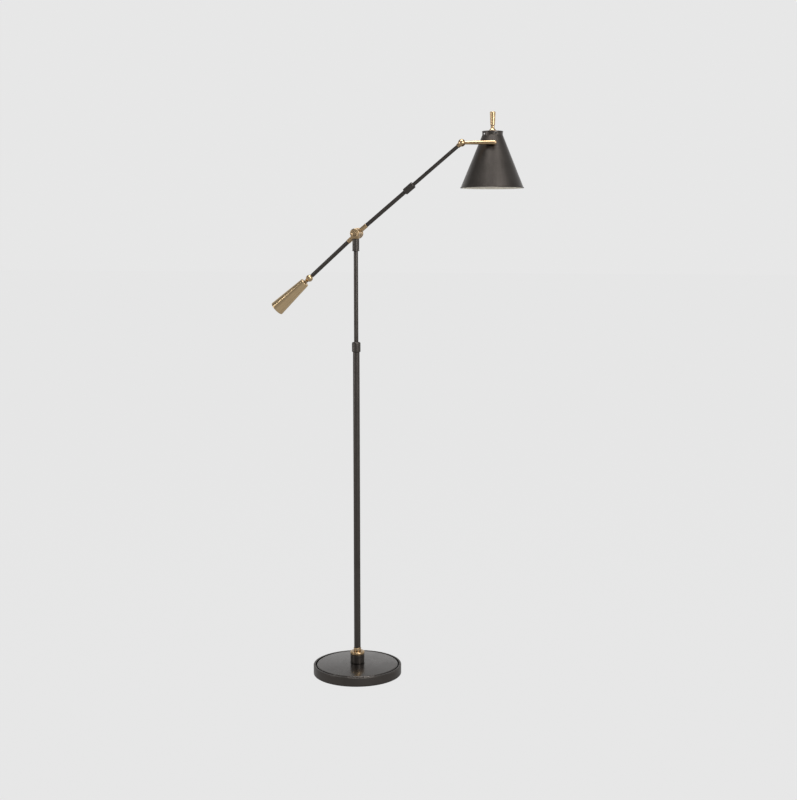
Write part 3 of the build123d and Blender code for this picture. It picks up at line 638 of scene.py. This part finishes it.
# ---------------------------------------------------------------- operators
class LAMP_OT_stage(bpy.types.Operator):
    """Camera, plain pale floor, backdrop and soft studio light"""
    bl_idname = "lamp.stage"
    bl_label = "Stage"

    def execute(self, context):
        stage = context.scene.lamp_stage
        self.camera(context, stage)
        self.floor(context, stage)
        self.surroundings(context, stage)
        self.lights(context)
        context.scene.view_settings.view_transform = "Standard"
        return {"FINISHED"}

    def camera(self, context, stage):
        data = bpy.data.cameras.new("camera")
        data.lens = stage.lens
        camera = bpy.data.objects.new("camera", data)
        azimuth, heading, pitch = stage.camera_azimuth, stage.heading, stage.pitch
        camera.location = (
            stage.camera_distance * math.sin(azimuth),
            -stage.camera_distance * math.cos(azimuth),
            stage.camera_height,
        )
        ahead = Vector((
            math.sin(heading) * math.cos(pitch),
            math.cos(heading) * math.cos(pitch),
            math.sin(pitch),
        ))
        camera.rotation_euler = ahead.to_track_quat("-Z", "Y").to_euler()
        data.clip_end = 200.0
        context.scene.collection.objects.link(camera)
        context.scene.camera = camera

    def floor(self, context, stage):
        half_width = 40.0
        own_light, mirrored_level = 0.985, 0.40
        shape = bmesh.new()
        bmesh.ops.create_grid(shape, x_segments=2, y_segments=2, size=half_width)
        mesh = bpy.data.meshes.new("floor")
        shape.to_mesh(mesh)
        shape.free()
        floor = bpy.data.objects.new("floor", mesh)
        context.scene.collection.objects.link(floor)
        made = bpy.data.materials.new("floor_paper")
        made.use_nodes = True
        made.node_tree.nodes.clear()
        graph = Graph(made.node_tree)
        path = graph.add("ShaderNodeLightPath").outputs
        pale = (stage.backdrop,) * 3
        paper = graph.add("ShaderNodeBsdfDiffuse", {"Color": pale}).outputs[0]
        lit = graph.add("ShaderNodeEmission", {"Color": pale}).outputs[0]
        dim = graph.add("ShaderNodeEmission", {"Color": (mirrored_level,) * 3}).outputs[0]
        seen = graph.add("ShaderNodeMixShader", {0: own_light, 1: paper, 2: lit}).outputs[0]
        direct = graph.add("ShaderNodeMixShader", {0: path["Is Camera Ray"], 1: paper, 2: seen}).outputs[0]
        above = graph.add("ShaderNodeMixShader", {0: path["Is Glossy Ray"], 1: direct, 2: dim}).outputs[0]
        beneath = graph.add("ShaderNodeNewGeometry").outputs["Backfacing"]
        clear = graph.add("ShaderNodeBsdfTransparent").outputs[0]
        final = graph.add("ShaderNodeMixShader", {0: beneath, 1: above, 2: clear}).outputs[0]
        graph.add("ShaderNodeOutputMaterial", {"Surface": final})
        mesh.materials.append(made)

    def surroundings(self, context, stage):
        world = bpy.data.worlds.new("studio")
        context.scene.world = world
        world.use_nodes = True
        world.node_tree.nodes.clear()
        graph = Graph(world.node_tree)
        direction = graph.add("ShaderNodeTexCoord").outputs["Generated"]
        behind = Vector((math.sin(stage.heading), math.cos(stage.heading), 0))
        rightward = Vector((behind.y, -behind.x, 0))
        facing = graph.vector("DOT_PRODUCT", direction, behind, output="Value")
        sideways = graph.vector("DOT_PRODUCT", direction, rightward, output="Value")
        upward = graph.vector("DOT_PRODUCT", direction, UP, output="Value")
        room = graph.spread(sideways, -0.08, 0.08, stage.room_left, stage.room_right)
        height = graph.spread(upward, 0.16, 0.50, 1.0, stage.ceiling)
        walls = graph.add("ShaderNodeMix", {0: graph.spread(facing, -0.1, 0.75), 2: room, 3: 1.0}).outputs[0]
        level = graph.maths("MULTIPLY", graph.maths("MULTIPLY", walls, height), stage.backdrop)
        path = graph.add("ShaderNodeLightPath").outputs
        shown = graph.add("ShaderNodeMix", {0: path["Is Camera Ray"], 2: level, 3: stage.backdrop}).outputs[0]
        background = graph.add("ShaderNodeBackground", {"Color": (1, 1, 1), "Strength": shown}).outputs[0]
        graph.add("ShaderNodeOutputWorld", {"Surface": background})

    def lights(self, context):
        boxes = (
            ("key_right", (2.6, -2.2, 2.3), (0.2, 0, 1.1), (1.4, 2.2), 46.0),
            ("strip_left", (-2.4, -1.6, 1.5), (0, 0, 1.1), (0.35, 2.4), 14.0),
            ("overhead", (0.2, -0.3, 3.4), (0.1, 0, 1.0), (1.6, 1.6), 42.0),
        )
        for name, place, target, size, power in boxes:
            data = bpy.data.lights.new(name, "AREA")
            data.shape = "RECTANGLE"
            data.size, data.size_y = size
            data.energy = power
            light = bpy.data.objects.new(name, data)
            light.location = place
            light.rotation_euler = (Vector(target) - Vector(place)).to_track_quat("-Z", "Y").to_euler()
            context.scene.collection.objects.link(light)


class LAMP_OT_bronze(bpy.types.Operator):
    """Darkened bronze on the rim, hub, tubes, collars and shade"""
    bl_idname = "lamp.bronze"
    bl_label = "Bronze pieces"

    def execute(self, context):
        dress(dish_bronze(), "base_dish")
        dress(bronze("mast"), "base_ring", "base_hub", "mast_collar", "swivel_stop_ring", "pivot_sleeve")
        dress(bronze("mast", drawn=True), "lower_tube", "upper_tube")
        dress(bronze("front_arm"), "arm_collar")
        dress(bronze("front_arm", drawn=True), "front_tube", "extension_tube")
        dress(bronze("rear_arm", drawn=True), "rear_tube")
        dress(bronze("shade"), "shade_shell", "vent_collar", "shade_cap")
        return {"FINISHED"}


class LAMP_OT_brass(bpy.types.Operator):
    """Aged brass on the hub ring, pivot, knuckles, rod and knob"""
    bl_idname = "lamp.brass"
    bl_label = "Brass pieces"

    def execute(self, context):
        dress(brass("mast"), "hub_ring", "hub_ferrule")
        dress(brass("pivot"), "pivot_block", "tension_knob", "arm_hub", "pivot_cap")
        dress(brass("front_arm"), "arm_collet")
        dress(brass("rear_ball"), "rear_knuckle", "rear_knuckle_screw", "weight_knuckle")
        dress(brass("rod"), "front_knuckle", "rod_knuckle")
        dress(brass("rod", drawn=True), "side_rod")
        dress(brass("post"), "pivot_post", "pivot_bush", "pivot_nut")
        dress(brass("shade"), "knob_seat")
        dress(brass("shade", drawn=True), "switch_knob")
        return {"FINISHED"}


class LAMP_OT_counterweight(bpy.types.Operator):
    """Brushed brass on the counterweight, with lengthwise colour streaks that are partly painted reflection
    bands
    """
    bl_idname = "lamp.counterweight"
    bl_label = "Counterweight"

    def execute(self, context):
        dress(brushed_brass_painted_bands(), "counterweight")
        return {"FINISHED"}


class LAMP_OT_hardware(bpy.types.Operator):
    """Finishes of the steel, cast and moulded pieces"""
    bl_idname = "lamp.hardware"
    bl_label = "Hardware"

    def execute(self, context):
        colours = context.scene.lamp_colours
        dress(steel(), "base_cover", "base_screws", "base_nipple", "base_nut", "base_washer", "mast_plug")
        dress(steel("pivot"), "pivot_bolt")
        dress(steel("rod"), "rod_pin")
        dress(steel("shade"), "holder_nipple", "switch_shaft")
        dress(cast_iron(), "base_weight")
        nylon = moulded("nylon", tuple(colours.nylon), (0.66, 0.62, 0.52), (0.35, 0.5))
        rubber = moulded("rubber", tuple(colours.rubber), (0.05, 0.05, 0.048), (0.6, 0.8), relief=0.0001)
        dress(nylon, "mast_collet", "riser_guide", "friction_washer")
        dress(rubber, "cord_grommet")
        dress(phenolic(), "switch_housing")
        return {"FINISHED"}


class LAMP_OT_felt(bpy.types.Operator):
    """Felt pad with a cut, slightly uneven edge"""
    bl_idname = "lamp.felt"
    bl_label = "Felt pad"

    def execute(self, context):
        low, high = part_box("felt_pad")
        radius, top = high.x, high.z - low.z
        fuzz = context.scene.lamp_sizes.felt_fuzz
        cut, segments, waviness = 0.7 * MM, 360, 900.0

        def uneven(angle, height):
            spot = Vector((radius * math.cos(angle), radius * math.sin(angle), height)) * waviness
            return -fuzz * (0.5 + 0.5 * noise.noise(spot))

        outline = [
            (0, 0), (radius * 0.5, 0), (radius - 2 * cut, 0), (radius - cut * 0.4, cut * 0.2), (radius, cut),
            (radius, top - cut), (radius - cut * 0.4, top - cut * 0.2), (radius - 2 * cut, top),
            (radius * 0.5, top), (0, top),
        ]
        mesh = lathe("felt_cut", outline, segments=segments, radial=uneven)
        piece = new_piece("felt_cut", mesh, "base", felt())
        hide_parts("felt_pad")
        return {"FINISHED"}


class LAMP_OT_lampholder(bpy.types.Operator):
    """Threaded lampholder and the bulb's rolled screw cap"""
    bl_idname = "lamp.lampholder"
    bl_label = "Lampholder and bulb cap"

    def execute(self, context):
        self.cap(context.scene.lamp_sizes)
        self.holder(context.scene.lamp_sizes)
        return {"FINISHED"}

    def cap(self, sizes):
        low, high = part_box("bulb_cap")
        radius, tall = high.x - middle("bulb_cap").x, high.z - low.z
        lip, wall_top, rows = 0.8 * MM, tall - 5.0 * MM, 96
        thread = screw_thread(1.5 * MM, wall_top - 1.0 * MM, sizes.thread_pitch, sizes.thread_depth)
        wall = [(radius, height) for height in steps(lip, wall_top, rows)]
        shoulder = [
            (radius - 1.2 * MM, wall_top + 0.8 * MM), (9.0 * MM, tall - 3.2 * MM),
            (6.2 * MM, tall - 2.2 * MM)]
        contact = [
            (5.0 * MM, tall - 2.0 * MM), (4.8 * MM, tall - 0.7 * MM),
            (3.4 * MM, tall - 0.1 * MM), (0, tall)]
        outline = [(0, 0), (radius - lip, 0), *wall, *shoulder, *contact]
        mesh = lathe("screw_cap", outline, radial=thread, least=radius - 0.5 * MM)
        stand(mesh, "bulb_cap")
        piece = new_piece("screw_cap", mesh, "shade", plating())
        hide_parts("bulb_cap")

    def holder(self, sizes):
        low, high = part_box("lampholder")
        radius, tall = high.x - middle("lampholder").x, high.z - low.z
        bore, floor, rows = 13.4 * MM, tall - 4.0 * MM, 150
        thread_low, thread_high = 3.0 * MM, 22.0 * MM
        thread = screw_thread(thread_low, thread_high, sizes.holder_pitch, sizes.holder_depth)
        lip, shoulder = 0.8 * MM, 1.2 * MM
        inside = [(0, floor), (bore * 0.5, floor), (bore, floor)]
        mouth = [(bore, lip), (bore + lip * 0.3, lip * 0.3), (bore + lip, 0), (radius - lip, 0)]
        wall = [(radius, height) for height in steps(lip, tall - shoulder, rows)]
        crown = [(radius - shoulder * 0.3, tall - shoulder * 0.3), (radius - shoulder, tall), (0, tall)]
        mesh = lathe("threaded_holder", inside + mouth + wall + crown, radial=thread, least=bore + 2 * lip)
        stand(mesh, "lampholder")
        piece = new_piece("threaded_holder", mesh, "shade", phenolic())
        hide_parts("lampholder")


class LAMP_OT_light_source(bpy.types.Operator):
    """White inside of the shade and the bulb"""
    bl_idname = "lamp.light_source"
    bl_label = "Liner and bulb"

    def execute(self, context):
        colours = context.scene.lamp_colours
        enamel = moulded("enamel", tuple(colours.enamel), (0.80, 0.74, 0.62), (0.28, 0.42), relief=0.00003)
        dress(enamel, "shade_liner")
        dress(frosted_glass(), "bulb_glass")
        return {"FINISHED"}


class LAMP_PT_panel(bpy.types.Panel):
    """The lamp's settings and the order of its making"""
    bl_label = "Floor Lamp"
    bl_idname = "LAMP_PT_panel"
    bl_space_type = "VIEW_3D"
    bl_region_type = "UI"
    bl_category = "Floor Lamp"

    def draw(self, context):
        layout = self.layout
        for operator in OPERATORS:
            layout.operator(operator.bl_idname)
        for settings in (context.scene.lamp_colours, context.scene.lamp_sizes, context.scene.lamp_stage):
            box = layout.box()
            for name in settings.__annotations__:
                box.prop(settings, name)


SETTINGS = {"lamp_colours": LampColours, "lamp_sizes": LampSizes, "lamp_stage": LampStage}
OPERATORS = (
    LAMP_OT_stage,
    LAMP_OT_bronze,
    LAMP_OT_brass,
    LAMP_OT_counterweight,
    LAMP_OT_hardware,
    LAMP_OT_felt,
    LAMP_OT_lampholder,
    LAMP_OT_light_source,
)


def register():
    """Adds the classes and their settings to Blender."""
    for made in (*SETTINGS.values(), *OPERATORS, LAMP_PT_panel):
        bpy.utils.register_class(made)
    for name, made in SETTINGS.items():
        setattr(bpy.types.Scene, name, bpy.props.PointerProperty(type=made))


def unregister():
    """Takes the classes and their settings out again."""
    for name in SETTINGS:
        delattr(bpy.types.Scene, name)
    for made in reversed((*SETTINGS.values(), *OPERATORS, LAMP_PT_panel)):
        bpy.utils.unregister_class(made)


def main():
    """Makes the lamp's looks in order."""
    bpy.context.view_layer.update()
    register()
    bpy.ops.lamp.stage()
    bpy.ops.lamp.bronze()
    bpy.ops.lamp.brass()
    bpy.ops.lamp.counterweight()
    bpy.ops.lamp.hardware()
    bpy.ops.lamp.felt()
    bpy.ops.lamp.lampholder()
    bpy.ops.lamp.light_source()


if __name__ == "__main__":
    main()
